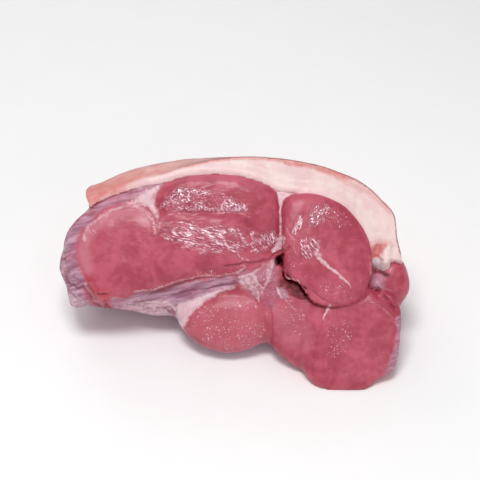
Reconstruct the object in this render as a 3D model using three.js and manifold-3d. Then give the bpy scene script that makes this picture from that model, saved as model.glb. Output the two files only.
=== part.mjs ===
// A boneless leg of pork, cut across and laid on its side. The cut face leans back, so that the
// lean shows, and the fat with its rind wraps over the top and down the back of it.
//
// Millimetres, +Z up. The origin is on the board, under the middle of the joint. The joint is
// drawn in the frame of its cut face: X runs to the right across the face, Y up the face and Z
// out of it. At the end the whole is leaned back and cut level where it rests.
import * as THREE from "three";
import { mergeVertices } from "three/addons/utils/BufferGeometryUtils.js";
import Module from "manifold-3d";

// ---- Driving dimensions ---------------------------------------------------------------------
const FACE_LEAN = 50; // degrees from lying flat to the lean of the cut face
const LEAN_TO_FAT = 0.3; // clearance between the lean and the fat over it
const FAT_FACE = -8; // the fat is cut this far behind the front of the face
const LEAN_FACE = -5; // and the lean here, between its bulging muscles
const LEAN_RIM = -42; // the lean is widest here
const LEAN_BACK = -111; // and ends here
const SKIN_BACK = -130; // the back of the rind
const SKIN_FRONT = 20; // how far forward the rind is drawn before it is cut
const SHANK_CLIMB = 16; // the rind climbs this much behind the cut, towards the shank
const SHANK_TRIM = { at: [-116, 150, 0], roll: -84 }; // a knife trims the rind through here
const HEM = { at: [0, 122.5, FAT_FACE], tilt: -37, roll: -10.3 }; // and its lower hem here
const LEAN_SQUARE = 2.3; // above 2, a muscle is fuller than an ellipsoid
const SHARP_RIM = 0.97; // the lean's rim under the fat is this near to a square cut
const FLAT_CUT = 0.4; // the share of the cut, round its heart, that the rim leaves as it is
const FACETS_PER_POINT = 3; // facets round a form, for each point of its outline
const MUSCLE_RINGS = 12; // rings of facets from a muscle's back to its front

// Outline of the lean, anticlockwise from the right, and of the rind where it is cut.
const HEART = [-14, 116]; // the middle that both outlines spread from
const LEAN_OUTLINE = [
  [114, 112], [105, 120], [94, 133], [75, 147], [52, 153], [36, 155], [20, 160.5], [-8, 166],
  [-38, 164.5], [-73, 158], [-96, 150], [-110, 143], [-124, 133], [-136, 114], [-139, 97],
  [-138, 80], [-129, 66.5], [-92, 60], [-60, 57], [-20, 52], [30, 46], [80, 42], [112, 48],
  [126, 66], [124, 92],
];
const SKIN_OUTLINE = [
  [128.5, 108], [125, 122], [120, 137], [111, 151], [96, 162.5], [73, 172], [51, 177.5],
  [20, 181], [-10, 180], [-38, 174], [-58, 167.5], [-80, 159.5], [-97, 152.5], [-112, 145.5],
  [-127, 137], [-138, 116], [-138, 84], [-118, 58], [-70, 40], [0, 34], [70, 36], [116, 50],
  [132, 80],
];

// The muscles of the face. Each swells from the rim of its outline, at the height `rim`, up to
// `front` and down to `back`. `square` above 2 makes it fuller, `heart` is its middle, and
// `slope` raises it as it goes to the right and up.
const MUSCLES = {
  inside: {
    heart: [-66, 108], rim: -20, front: 4, back: -100, square: 2.9,
    outline: [
      [37, 108], [27, 127], [0, 138], [-27, 141], [-56, 143], [-70, 146], [-92, 145], [-114, 137],
      [-130, 120], [-138, 97], [-134, 77], [-113, 67], [-88, 68], [-66, 75], [-46, 81],
      [-22, 87], [0, 90], [25, 94],
    ],
  },
  middle: {
    heart: [-8, 149], rim: -10, front: 1.5, back: -60, square: 2.9,
    outline: [
      [38.5, 134], [36, 149], [26, 159], [8, 165.5], [-15, 168], [-40, 166], [-56, 159],
      [-62, 147], [-55, 136], [-34, 133], [-8, 131], [12, 126], [25, 117], [35, 112],
    ],
  },
  eye: {
    heart: [70, 110], rim: 0, front: 9, back: -13, square: 3.4, slope: [-0.09, -0.1],
    outline: [
      [106, 102], [103, 118], [94, 133], [81, 145], [66, 151], [53, 153], [43, 149.5], [38, 141],
      [36.5, 122], [37, 99], [43, 87], [56, 79], [69, 69], [83, 65.5], [96, 70], [104, 85],
    ],
  },
  strip: {
    heart: [-82, 147], rim: -16, front: -2, back: -50,
    outline: [
      [-54, 153], [-58, 160], [-72, 158.5], [-86, 155], [-101, 150], [-115, 141], [-108, 133],
      [-92, 137], [-73, 140], [-58, 144],
    ],
  },
  web: {
    heart: [20, 82], rim: -34, front: -4, back: -70,
    outline: [
      [42, 84], [37, 101], [26, 106], [8, 98], [-4, 88], [2, 74], [14, 62], [22, 48], [32, 47],
      [38, 62],
    ],
  },
  lower_lobe: {
    heart: [-6, 54], rim: -31, front: -5, back: -84, square: 2.9,
    outline: [
      [33, 56], [30, 72], [8, 80], [-16, 78], [-33, 69], [-46, 53.5], [-40, 43], [-28, 33],
      [-10, 27], [7, 28.5], [20, 34], [31, 40],
    ],
  },
  knuckle_left: {
    heart: [48, 48], rim: -17, front: -2, back: -80, square: 3,
    outline: [
      [74, 51], [70, 76], [50, 84], [34, 84], [25, 70], [22, 54], [26, 37], [38, 23.5], [52, 15],
      [68, 12], [74, 30],
    ],
  },
  knuckle: {
    heart: [92, 38], rim: -4, front: 4.5, back: -90, square: 3.2,
    outline: [
      [128, 43], [128, 64], [120, 75], [100, 79], [78, 77], [60, 68], [53, 46], [50, 27],
      [54, 13], [66, 1], [94, -2], [109, 4], [121, 13], [126, 25],
    ],
  },
  side_flap: {
    heart: [123, 84], rim: -24, front: -6, back: -70, square: 2.6,
    outline: [
      [137, 84], [135, 93], [131, 101], [122, 105], [113, 99], [108, 88], [113, 75], [125, 62],
      [133, 69], [137, 77],
    ],
  },
};
// The end of the fat, folded in beside the eye muscle.
const FAT_END = { at: [114.5, 103, -21], radii: [11, 13, 16], roll: -12 };
// Hollows between the muscles, which the eye muscle's flap then overhangs.
const HOLLOWS = [
  { at: [45, 82, -10], radii: [15, 7, 20], roll: -38 },
  { at: [34, 100, -6], radii: [3, 4.5, 14], roll: 0 },
  { at: [113, 72, -4], radii: [12, 2.2, 14], roll: -42 },
];

// ---- Helpers ----------------------------------------------------------------------------------
const FAR = 900; // further than the joint reaches
const smooth = THREE.MathUtils.smoothstep;
const wasm = await Module();
wasm.setup();

/** A closed mesh with its vertices shared and its flat corners dropped. */
function closed(geometry) {
  geometry.deleteAttribute("normal");
  geometry.deleteAttribute("uv");
  const merged = mergeVertices(geometry, 1e-4);
  const corners = merged.index.array;
  const kept = [];
  for (let i = 0; i < corners.length; i += 3) {
    const [a, b, c] = corners.subarray(i, i + 3);
    if (a !== b && b !== c && c !== a) kept.push(a, b, c);
  }
  merged.setIndex(kept);
  return merged;
}

function toSolid(geometry) {
  const { position } = geometry.attributes;
  return new wasm.Manifold(new wasm.Mesh({
    numProp: 3,
    vertProperties: new Float32Array(position.array),
    triVerts: new Uint32Array(geometry.index.array),
  }));
}

function toGeometry(solid) {
  const { vertProperties, triVerts } = solid.getMesh();
  const geometry = new THREE.BufferGeometry();
  geometry.setAttribute("position", new THREE.BufferAttribute(vertProperties, 3));
  geometry.setIndex(new THREE.BufferAttribute(triVerts, 1));
  return geometry;
}

function join(solids) {
  return solids.reduce((whole, piece) => whole.add(piece));
}

/** Moves every vertex of a geometry by a rule that changes the vector it is given. */
function reshape(geometry, rule) {
  const { position } = geometry.attributes;
  const p = new THREE.Vector3();
  for (let i = 0; i < position.count; i += 1) {
    rule(p.fromBufferAttribute(position, i));
    position.setXYZ(i, p.x, p.y, p.z);
  }
  return geometry;
}

/** All that lies below a plane through `at`, tilted about X and then rolled about Z. */
function below({ at, tilt = 0, roll = 0 }) {
  const geometry = closed(new THREE.BoxGeometry(FAR, FAR, FAR));
  geometry.translate(0, -FAR / 2, 0);
  geometry.rotateX(THREE.MathUtils.degToRad(tilt));
  geometry.rotateZ(THREE.MathUtils.degToRad(roll));
  geometry.translate(...at);
  return toSolid(geometry);
}

/** The slow unevenness of flesh, between about -1 and 1. */
function unevenness(p) {
  const across = Math.sin(p.x / 9 + p.z / 13);
  const up = Math.sin(p.y / 7 - p.x / 15 + 1);
  const along = Math.sin(p.z / 8 + p.y / 12 + 2);
  return (across + up + along) / 3;
}

/** A turned form whose rings are stretched from the heart to an outline. `profile` has steps of
 *  [share of the way to the outline, Z], and `rule` may move each point further. */
function stretched(outline, heart, profile, rule) {
  const rimPoints = outline.map(([x, y]) => new THREE.Vector3(x, y, 0));
  const curve = new THREE.CatmullRomCurve3(rimPoints, true);
  const steps = profile.map(([share, z]) => new THREE.Vector2(share, z));
  const segments = outline.length * FACETS_PER_POINT;
  const form = reshape(new THREE.LatheGeometry(steps, segments), (p) => {
    const share = Math.hypot(p.x, p.z);
    const turn = Math.atan2(p.x, p.z) / (2 * Math.PI);
    const rim = curve.getPoint((turn + 1) % 1);
    const spoke = new THREE.Vector3(rim.x - heart[0], rim.y - heart[1], 0);
    p.set(heart[0] + share * spoke.x, heart[1] + share * spoke.y, p.y);
    rule(p, share, rim, spoke);
  });
  return toSolid(closed(form));
}

/** The rounded profile of a muscle, from its back to its front. */
function swelling({ rim, front, back, square = LEAN_SQUARE }) {
  return Array.from({ length: MUSCLE_RINGS + 1 }, (_, i) => {
    const angle = (i / MUSCLE_RINGS - 0.5) * Math.PI;
    const share = i === 0 || i === MUSCLE_RINGS ? 0 : Math.cos(angle) ** (2 / square);
    const rise = Math.abs(Math.sin(angle)) ** (2 / square);
    return [share, angle < 0 ? rim + (back - rim) * rise : rim + (front - rim) * rise];
  });
}

function muscle(shape, grow) {
  const { outline, heart, rim, slope = [0, 0] } = shape;
  return stretched(outline, heart, swelling(shape), (p, share, rimPoint, spoke) => {
    const side = p.z > rim ? 1 : -1;
    p.addScaledVector(spoke.normalize(), grow * share);
    p.z += (side * grow + unevenness(p)) * (1 - share);
    p.z += slope[0] * (p.x - heart[0]) + slope[1] * (p.y - heart[1]);
  });
}

function pebble({ at, radii, roll }) {
  const geometry = closed(new THREE.IcosahedronGeometry(1, 5));
  geometry.scale(...radii);
  geometry.rotateZ(THREE.MathUtils.degToRad(roll));
  geometry.translate(...at);
  return toSolid(geometry);
}

// ---- The lean -----------------------------------------------------------------------------------
const CORE_PROFILE = [
  [0, LEAN_BACK], [0.3, -107], [0.55, -100], [0.75, -88], [0.88, -74], [0.96, -58], [1, LEAN_RIM],
  [0.97, -31], [0.9, -22], [0.78, -15], [0.62, -10], [0.45, LEAN_FACE], [0, LEAN_FACE],
];

/** How far a stretch of the lean's rim lies under the fat, from 0 to 1. The fat ends lower on
 *  the left than on the right. */
function underFat(rim) {
  return smooth(rim.y - 0.3 * rim.x, 60, 110) * smooth(rim.y, 85, 120);
}

/** The mass of the leg. Its rim is cut sharp under the fat and rounds over at the shank and below. */
function core(grow) {
  return stretched(LEAN_OUTLINE, HEART, CORE_PROFILE, (p, share, rim, spoke) => {
    const side = p.z > LEAN_RIM ? 1 : -1;
    const outwards = side > 0 && share > FLAT_CUT ? (1 - share) * underFat(rim) * SHARP_RIM : 0;
    p.addScaledVector(spoke, outwards);
    p.addScaledVector(spoke.normalize(), grow * share);
    p.z += side * grow * (1 - share);
  });
}

function leanAsDrawn(grow) {
  const { eye, ...others } = MUSCLES;
  const mass = join([core(grow), ...Object.values(others).map((shape) => muscle(shape, grow))]);
  const hollowed = HOLLOWS.reduce((whole, shape) => whole.subtract(pebble(shape)), mass);
  return hollowed.add(muscle(eye, grow));
}

// ---- The fat and its rind -----------------------------------------------------------------------
const SKIN_PROFILE = [
  [0, SKIN_BACK], [0.3, -127], [0.55, -118], [0.75, -104], [0.88, -88], [0.96, -70], [1, -50],
  [1.005, -30], [1, FAT_FACE], [1, SKIN_FRONT], [0, SKIN_FRONT],
];

function skinDome() {
  return stretched(SKIN_OUTLINE, HEART, SKIN_PROFILE, (p, share, rim) => {
    const towardsShank = 1 - smooth(rim.x, -100, 20);
    const behind = smooth(-p.z, -FAT_FACE, -LEAN_RIM) * smooth(rim.y, 90, 140);
    p.y += SHANK_CLIMB * towardsShank * behind * share;
  });
}

function fatAsDrawn() {
  const front = { at: [0, 0, FAT_FACE], tilt: -90 };
  const knives = [front, SHANK_TRIM, HEM].map(below);
  const trimmed = knives.reduce((left, cut) => left.subtract(cut), skinDome());
  return trimmed.add(pebble(FAT_END)).subtract(leanAsDrawn(LEAN_TO_FAT));
}

// ---- Laid down ------------------------------------------------------------------------------------
const LEAN_FINISH = new THREE.MeshStandardMaterial({ color: 0xb95a6c, roughness: 0.35, metalness: 0 });
const FAT_FINISH = new THREE.MeshStandardMaterial({ color: 0xefd8d4, roughness: 0.5, metalness: 0 });

/** Leans a solid back with its face and cuts it level where it rests on the board. */
function laidDown(name, solid, finish) {
  const leaned = toGeometry(solid);
  leaned.rotateX(THREE.MathUtils.degToRad(FACE_LEAN));
  const underBoard = below({ at: [0, 0, 0], tilt: 90 });
  const mesh = new THREE.Mesh(toGeometry(toSolid(leaned).subtract(underBoard)), finish);
  mesh.name = name;
  return mesh;
}

const leg = new THREE.Group();
leg.add(laidDown("lean_meat", leanAsDrawn(0), LEAN_FINISH));
leg.add(laidDown("fat_and_rind", fatAsDrawn(), FAT_FINISH));

const reach = new THREE.Box3().setFromObject(leg);
const middle = reach.getCenter(new THREE.Vector3());
leg.children.forEach((piece) => piece.position.set(-middle.x, -middle.y, -reach.min.z));

export default leg;
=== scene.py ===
# %% [markdown]
# # A boneless leg of pork
#
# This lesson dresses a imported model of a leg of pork, cut across and laid on its side. It has
# two plain, faceted solids: the lean, with all its muscles in one, and the fat with the rind.
# Each is copied, given an even skin of small faces, modelled by moving its points in code as a
# sculptor would, and painted with procedural materials.

# %% Load the frame
import math
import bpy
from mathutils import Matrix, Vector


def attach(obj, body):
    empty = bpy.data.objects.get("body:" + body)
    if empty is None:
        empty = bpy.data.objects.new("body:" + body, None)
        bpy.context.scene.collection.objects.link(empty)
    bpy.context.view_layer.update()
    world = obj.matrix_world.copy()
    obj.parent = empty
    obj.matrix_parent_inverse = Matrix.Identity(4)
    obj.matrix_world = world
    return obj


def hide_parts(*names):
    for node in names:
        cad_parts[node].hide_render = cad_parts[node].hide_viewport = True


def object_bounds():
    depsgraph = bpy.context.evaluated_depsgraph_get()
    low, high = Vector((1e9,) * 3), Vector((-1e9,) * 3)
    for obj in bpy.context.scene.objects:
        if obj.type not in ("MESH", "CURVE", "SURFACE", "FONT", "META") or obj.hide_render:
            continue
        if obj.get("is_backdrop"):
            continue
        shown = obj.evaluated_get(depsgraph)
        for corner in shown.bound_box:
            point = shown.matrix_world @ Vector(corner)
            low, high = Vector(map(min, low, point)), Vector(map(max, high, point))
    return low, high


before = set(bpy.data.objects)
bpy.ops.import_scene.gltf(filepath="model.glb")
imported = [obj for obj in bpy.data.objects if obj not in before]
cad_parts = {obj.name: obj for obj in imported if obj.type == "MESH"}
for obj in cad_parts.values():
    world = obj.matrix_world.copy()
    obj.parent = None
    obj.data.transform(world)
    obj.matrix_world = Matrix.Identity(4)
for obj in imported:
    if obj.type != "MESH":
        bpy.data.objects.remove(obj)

from types import SimpleNamespace

import bmesh
import bpy
import numpy as np
from mathutils import Matrix, Vector, kdtree, noise
from mathutils.bvhtree import BVHTree

CAD_LOW, CAD_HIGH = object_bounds()
MM = 0.001
print("the leg is", [round(side / MM) for side in CAD_HIGH - CAD_LOW], "mm")

# %% [markdown]
# ## The cut face and the eye
#
# The cut face leans back, and the eye looks straight at it. So one turn about X takes the
# model into the face's own frame, with x across the face, y up it and z out of it. A pixel of
# the reference picture is then a place on the face. The eye stands a metre off, so what lies
# deeper looks a little smaller, as in a photograph.

# %% The face's frame and the camera
FACE_LEAN = math.radians(50)
FOOT = Vector((0.981, -93.908, 0.0)) * MM  # where the face's zero point stands on the board
PIXEL = 0.77 * MM  # one pixel of the picture, on the face
FRAME_MIDDLE = 240  # of a picture 480 pixels wide and high
ZERO_PIXEL = (235, 391)  # the pixel that the face's zero point falls on
EYE_DISTANCE = 1030 * MM
SENSOR = 36.0

TO_WORLD = Matrix.Translation(FOOT) @ Matrix.Rotation(FACE_LEAN, 4, "X")
TO_FACE = TO_WORLD.inverted()
OUT = np.array(TO_WORLD.to_3x3())[:, 2]  # straight out of the face
EYE_SIDE = (FRAME_MIDDLE - ZERO_PIXEL[0]) * PIXEL
EYE = Vector((EYE_SIDE, (ZERO_PIXEL[1] - FRAME_MIDDLE) * PIXEL, EYE_DISTANCE))


def turned(points, matrix):
    """Rows of points, moved by a matrix."""
    turn = np.array(matrix)
    return points @ turn[:3, :3].T + turn[:3, 3]


def seen_at(points):
    """The picture's x and y for each point, and its height out of the face in mm."""
    on_face = turned(points, TO_FACE)
    nearness = EYE_DISTANCE / (EYE_DISTANCE - on_face[:, 2]) / PIXEL
    x = FRAME_MIDDLE + (on_face[:, 0] - EYE.x) * nearness
    y = FRAME_MIDDLE - (on_face[:, 1] - EYE.y) * nearness
    return x, y, on_face[:, 2] / MM


def placed(name, data):
    """A new object in the scene."""
    made = bpy.data.objects.new(name, data)
    bpy.context.scene.collection.objects.link(made)
    return made


camera_data = bpy.data.cameras.new("camera")
camera_data.sensor_width = SENSOR
camera_data.lens = SENSOR * EYE_DISTANCE / (2 * FRAME_MIDDLE * PIXEL)
camera = placed("camera", camera_data)
camera.matrix_world = TO_WORLD @ Matrix.Translation(EYE)
bpy.context.scene.camera = camera
print("lens", round(camera_data.lens), "mm")

# %% [markdown]
# ## From faceted solid to flesh
#
# Raw meat has no edges but those of the knife, and it sags into soft rounds. A voxel remesh
# melts the joined muscles into one skin of even quads, and a few rounds of smoothing take the
# facets out. The face is looked at closely, so its quads are split once more. The back keeps
# the larger ones, since nothing small is modelled there.


# %% Copy and remesh
WELD = 0.001 * MM  # the facets' corners are joined when they are this close


def smoothed(piece):
    """The piece's mesh, with its modifiers applied."""
    posed = piece.evaluated_get(bpy.context.evaluated_depsgraph_get())
    mesh = bpy.data.meshes.new_from_object(posed)
    piece.modifiers.clear()
    return mesh


def remeshed(node, name, voxel, soften):
    """A new object with an even skin over a CAD node."""
    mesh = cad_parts[node].data.copy()
    shell = bmesh.new()
    shell.from_mesh(mesh)
    bmesh.ops.remove_doubles(shell, verts=shell.verts, dist=WELD)
    shell.to_mesh(mesh)
    shell.free()
    piece = placed(name, mesh)
    even = piece.modifiers.new("even", "REMESH")
    even.mode = "VOXEL"
    even.voxel_size = voxel
    soft = piece.modifiers.new("soft", "SMOOTH")
    soft.iterations = soften
    piece.data = smoothed(piece)
    piece.data.materials.clear()
    return piece


# %% Split what is seen, and smooth what isn't
def split_where(piece, facing_above, height_above):
    """Splits in two each way the faces that turn to the eye and lie high enough, in mm."""
    skin = bmesh.new()
    skin.from_mesh(piece.data)
    skin.faces.ensure_lookup_table()
    centres = np.array([face.calc_center_median() for face in skin.faces])
    facing = np.array([face.normal for face in skin.faces]) @ OUT
    chosen = np.nonzero((facing > facing_above) & (seen_at(centres)[2] > height_above))[0]
    edges = {edge for index in chosen for edge in skin.faces[index].edges}
    bmesh.ops.subdivide_edges(skin, edges=list(edges), cuts=1, use_grid_fill=True)
    bmesh.ops.smooth_vert(
        skin, verts=skin.verts, factor=0.5, use_axis_x=True, use_axis_y=True, use_axis_z=True
    )
    skin.to_mesh(piece.data)
    skin.free()


BEHIND = -22  # mm out of the face, where the sides and the back begin


def soften_behind(piece, rounds):
    """Takes the facets out of the sides and the back, where nothing has to stay crisp."""
    corners = np.array([vertex.co for vertex in piece.data.vertices])
    behind = np.nonzero(seen_at(corners)[2] < BEHIND)[0]
    piece.vertex_groups.new(name="behind").add(behind.tolist(), 1.0, "REPLACE")
    soft = piece.modifiers.new("soft", "SMOOTH")
    soft.vertex_group = "behind"
    soft.iterations = rounds
    piece.data = smoothed(piece)
    piece.vertex_groups.clear()


lean = remeshed("lean_meat", "lean_muscles", voxel=1.9 * MM, soften=5)
soften_behind(lean, rounds=60)
split_where(lean, facing_above=0.15, height_above=-60)
fat = remeshed("fat_and_rind", "fat_cap", voxel=1.6 * MM, soften=3)
soften_behind(fat, rounds=80)
split_where(fat, facing_above=0.3, height_above=-25)
for piece in (lean, fat):
    piece.data.calc_loop_triangles()
    print(piece.name, len(piece.data.loop_triangles), "triangles")

# %% [markdown]
# ## Tools for modelling and painting by place
#
# Every feature is a soft line or patch on the picture. A few functions give its strength at
# each point of the mesh, from 0 to 1, which either moves the point or is kept as an attribute
# for a material. Noise breaks the edges up, because nothing in meat is evenly round or straight.


# %% Soft lines on the picture
def ramp(value, start, end):
    """0 at start, 1 at end, smooth between. It falls where end is below start."""
    t = np.clip((value - start) / (end - start), 0, 1)
    return t * t * (3 - 2 * t)


def spline(corners, steps=8):
    """A smooth line through a few picture points."""
    rows = [corners[0]] + list(corners) + [corners[-1]]
    line = []
    for a, b, c, d in zip(rows, rows[1:], rows[2:], rows[3:]):
        a, b, c, d = (np.array(p, float) for p in (a, b, c, d))
        for t in np.arange(steps) / steps:
            bend = (2 * a - 5 * b + 4 * c - d) * t ** 2
            line.append(0.5 * (2 * b + (c - a) * t + bend + (3 * b - a - 3 * c + d) * t ** 3))
    return line + [np.array(corners[-1], float)]


def from_line(view, line):
    """How far each point lies from a line, in pixels, and its share of the way along."""
    nearest = np.full(view.x.shape, 1e9)
    along = np.zeros_like(nearest)
    for number, (start, end) in enumerate(zip(line, line[1:])):
        dx, dy = end - start
        t = ((view.x - start[0]) * dx + (view.y - start[1]) * dy) / (dx * dx + dy * dy + 1e-9)
        t = np.clip(t, 0, 1)
        away = np.hypot(view.x - start[0] - t * dx, view.y - start[1] - t * dy)
        closer = away < nearest
        nearest[closer] = away[closer]
        along[closer] = (number + t[closer]) / (len(line) - 1)
    return nearest, along


def stroke(view, corners, width, start=1.0, end=1.0):
    """A soft line, `width` pixels wide times `start` where it begins and `end` where it ends."""
    away, along = from_line(view, spline(corners))
    half = width / 2 * (start + (end - start) * along)
    return ramp(away / half, 1.7, 0.3) * view.shown


# %% Soft patches, and noise
def depth_inside(view, corners):
    """How far each point lies inside a smooth closed line, in pixels. Negative is outside."""
    line = spline(corners + corners[:1], steps=4)
    away = from_line(view, line)[0]
    is_in = np.zeros(view.x.shape, bool)
    for (x0, y0), (x1, y1) in zip(line, line[1:]):
        crosses = (y0 > view.y) != (y1 > view.y)
        is_in ^= crosses & (view.x < x0 + (view.y - y0) * (x1 - x0) / (y1 - y0 + 1e-9))
    return np.where(is_in, away, -away)


def patch(view, corners, fade=4.0):
    """A soft patch inside a closed line. Its edge fades over `fade` pixels."""
    return ramp(depth_inside(view, corners), -fade / 2, fade / 2) * view.shown


def strongest(*parts):
    """The largest of several strengths, at each point."""
    return np.maximum.reduce(parts)


def grain(points, size, seed, stretch=(1, 1, 1)):
    """Noise between -1 and 1, with lumps of `size` mm, stretched in the face's frame."""
    scale = 1 / (size * MM * np.array(stretch))
    rows = turned(points, TO_FACE) * scale + seed * 17.3
    return np.array([noise.noise(row) for row in rows])


# %% Measure, move and keep
WOBBLE = 1.3  # pixels that the features waver by


def survey(piece):
    """What the tools need to know of every point of a piece."""
    points, normals = np.empty((2, len(piece.data.vertices) * 3))
    piece.data.vertices.foreach_get("co", points)
    piece.data.vertices.foreach_get("normal", normals)
    points, normals = points.reshape(-1, 3), normals.reshape(-1, 3)
    x, y, height = seen_at(points)
    facing = normals @ OUT
    return SimpleNamespace(
        points=points, normals=normals, height=height, facing=facing,
        x=x + WOBBLE * (grain(points, 7, seed=1) + 0.7 * grain(points, 2.5, seed=8)),
        y=y + WOBBLE * (grain(points, 7, seed=2) + 0.7 * grain(points, 2.5, seed=9)),
        shown=ramp(facing, -0.05, 0.25),
    )


def settle(piece, view):
    """Puts the points of a survey back into the mesh."""
    piece.data.vertices.foreach_set("co", view.points.ravel())
    piece.data.update()


def push(piece, view, rise, way=None):
    """Moves the points by `rise` mm, along their normals or another way."""
    way = view.normals if way is None else way
    moves = way * (rise * MM)[:, None]
    view.points = view.points + moves
    settle(piece, view)
    print(f"{piece.name}: points move by up to {np.linalg.norm(moves, axis=1).max() / MM:.1f} mm")


def keep(piece, name, strength):
    """Keeps a strength, from 0 to 1, as an attribute that a material can read."""
    layer = piece.data.attributes.new(name, "FLOAT", "POINT")
    layer.data.foreach_set("value", np.clip(strength, 0, 1))
    print(f"{piece.name}: {name} covers {np.mean(strength > 0.5):.1%}")


# %% [markdown]
# ## The lean: pulled into outline
#
# The solid's outline lies some millimetres off at a few places. Each is pulled into line with
# what lies round it, as one would pull a lump of clay.

# %% Pull the outline of the lean
OUTLINE_DRAGS = [  # place, reach in pixels, mm across and up the face
    ((61, 285), 20, (2.8, 0.0)),  # the shank end
    ((74, 299), 17, (-1.6, -5.4)),  # its lower corner
    ((155, 314), 26, (0.0, -2.2)),  # the belly
    ((387, 390), 22, (-5.6, 3.4)),  # the knuckle's lower corner
]


def drag(piece, view, place, reach, move):
    """Pulls what lies round a place of the picture by so many mm across and up the face."""
    away = np.hypot(view.x - place[0], view.y - place[1])
    push(piece, view, ramp(away, reach, 0), np.array(TO_WORLD.to_3x3() @ Vector((*move, 0))))


view = survey(lean)
for pull in OUTLINE_DRAGS:
    drag(lean, view, *pull)

# %% [markdown]
# ## The lean: seams and folds
#
# Sinew holds the muscles apart, and a knife that runs along a seam leaves a crease with swollen
# lips. So a seam is a valley, some with a low ridge beside it. At the shank end and over the
# belly the film is crumpled in small folds: narrow valleys, each with a ridge above it.

# %% Where the seams run
SEAM_UNDER_MIDDLE = [(157, 208), (164, 211), (180, 212), (205, 212.5), (235, 212), (250, 216)]
SEAM_TO_FLAP = [
    (226, 266), (240, 264.5), (253, 263), (266, 260.5), (275, 255), (279, 252.4), (284, 250),
    (288.5, 246),
]
SEAM_UP = [(279, 190), (280, 215), (281, 233), (278, 243), (273, 251)]
EDGE_OF_INSIDE = [
    (134, 294), (150, 291.5), (164, 288.5), (182, 282), (200, 278.5), (218, 278), (238, 274.5),
    (246, 270),
]
OVAL_RIM = [
    (84, 240), (87.7, 227), (97, 219), (107, 212.7), (127.7, 205.5), (143, 209.5), (153, 220), (156, 234),
]
KNUCKLE_SEAM = [(324, 310), (319, 330), (313, 352), (311, 368)]
LOBE_SEAM = [(262, 292), (267, 305), (270, 322), (270, 344)]
SIDE_SLIT = [(372, 286), (380, 292), (387, 298), (395, 309)]
EYE_CRACK = [(284, 225), (289, 232), (294, 239)]
VALLEYS = [  # line, width in pixels, depth in mm
    (SEAM_UNDER_MIDDLE, 2.5, 0.8), (SEAM_TO_FLAP, 2.5, 1.8), (SEAM_UP, 4, 0.8),
    (KNUCKLE_SEAM, 3, 0.9), (LOBE_SEAM, 4, 1.3), (SIDE_SLIT, 3, 1.8), (EYE_CRACK, 2, 0.4),
    (EDGE_OF_INSIDE, 2.6, 1.2),
    ([(140, 193), (150, 203), (156, 214)], 9, 0.8), ([(251, 234), (258, 246), (268, 256)], 3, 0.5),
    ([(63, 250), (67, 266), (75, 281)], 5, 0.8), ([(253, 271), (259, 267), (265, 262)], 2, 0.7),
]
print(len(VALLEYS), "seams and creases")

# %% Where the film is folded
SHANK_FOLDS = [
    [(66, 276), (69, 283), (77, 288), (83, 286)], [(84, 288), (88, 294), (93, 300)],
    [(88, 286), (92, 292), (96, 299)], [(68, 289), (73, 296), (80, 301)],
    [(98, 294.5), (102, 294.5), (106, 293)], [(104, 300), (107, 305), (109, 310)],
    [(64, 260), (66, 269), (71, 279)], [(92, 301), (99, 305), (104, 309)],
]
BELLY_FOLDS = [
    [(146, 303), (158, 304), (167, 304.5), (173, 309), (176, 319)],
    [(190, 309), (204, 301), (218, 295), (234, 288)],
    [(150, 298), (180, 293), (205, 289), (236, 284)], [(116, 300), (132, 304), (150, 309)],
    [(254, 292), (259, 276), (266, 264)], [(268, 298), (273, 280), (278, 264)],
]
print(len(SHANK_FOLDS) + len(BELLY_FOLDS), "folds")


# %% Sink the seams and folds
FOLD_WIDTH = 2.4  # pixels


def shifted(line, across, down):
    """The same line, some pixels away."""
    return [(x + across, y + down) for x, y in line]


def in_shank_folds(view):
    """How deep in a fold of the shank each point lies, from 0 to 1."""
    return strongest(*(stroke(view, line, FOLD_WIDTH) for line in SHANK_FOLDS))


view = survey(lean)
rise = 0.35 * grain(view.points, 14, seed=3) + 0.15 * grain(view.points, 5, seed=4)
for line, width, depth in VALLEYS:
    rise -= depth * stroke(view, line, width)
shank_ridges = strongest(*(stroke(view, shifted(line, 2.4, -2.4), 2.6) for line in SHANK_FOLDS))
rise += 0.8 * shank_ridges - 1.5 * in_shank_folds(view)
for line in BELLY_FOLDS:
    rise -= 0.8 * stroke(view, line, FOLD_WIDTH)
    rise += 0.6 * stroke(view, shifted(line, 1, -3), 3)
rise += 0.9 * stroke(view, shifted(EDGE_OF_INSIDE, 0, -3.4), 4.5)
rise += 0.7 * stroke(view, OVAL_RIM, 5)
rise -= 0.6 * stroke(view, shifted(OVAL_RIM[1:-2], -1, -5), 5)
push(lean, view, rise)

# %% [markdown]
# ## The lean: the flap and the hollow under it
#
# The round eye muscle hangs forward as a flap with a sharp lower lip, and shade lies under it.
# The remesh leaves ragged steps where a wall turns away from the eye. So the flap, the hollow
# below it and the slits beside it are each filled up to a level, as one smooth slope that the
# paint can lie on. Only the small hole at the flap's corner is sunk.

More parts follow.
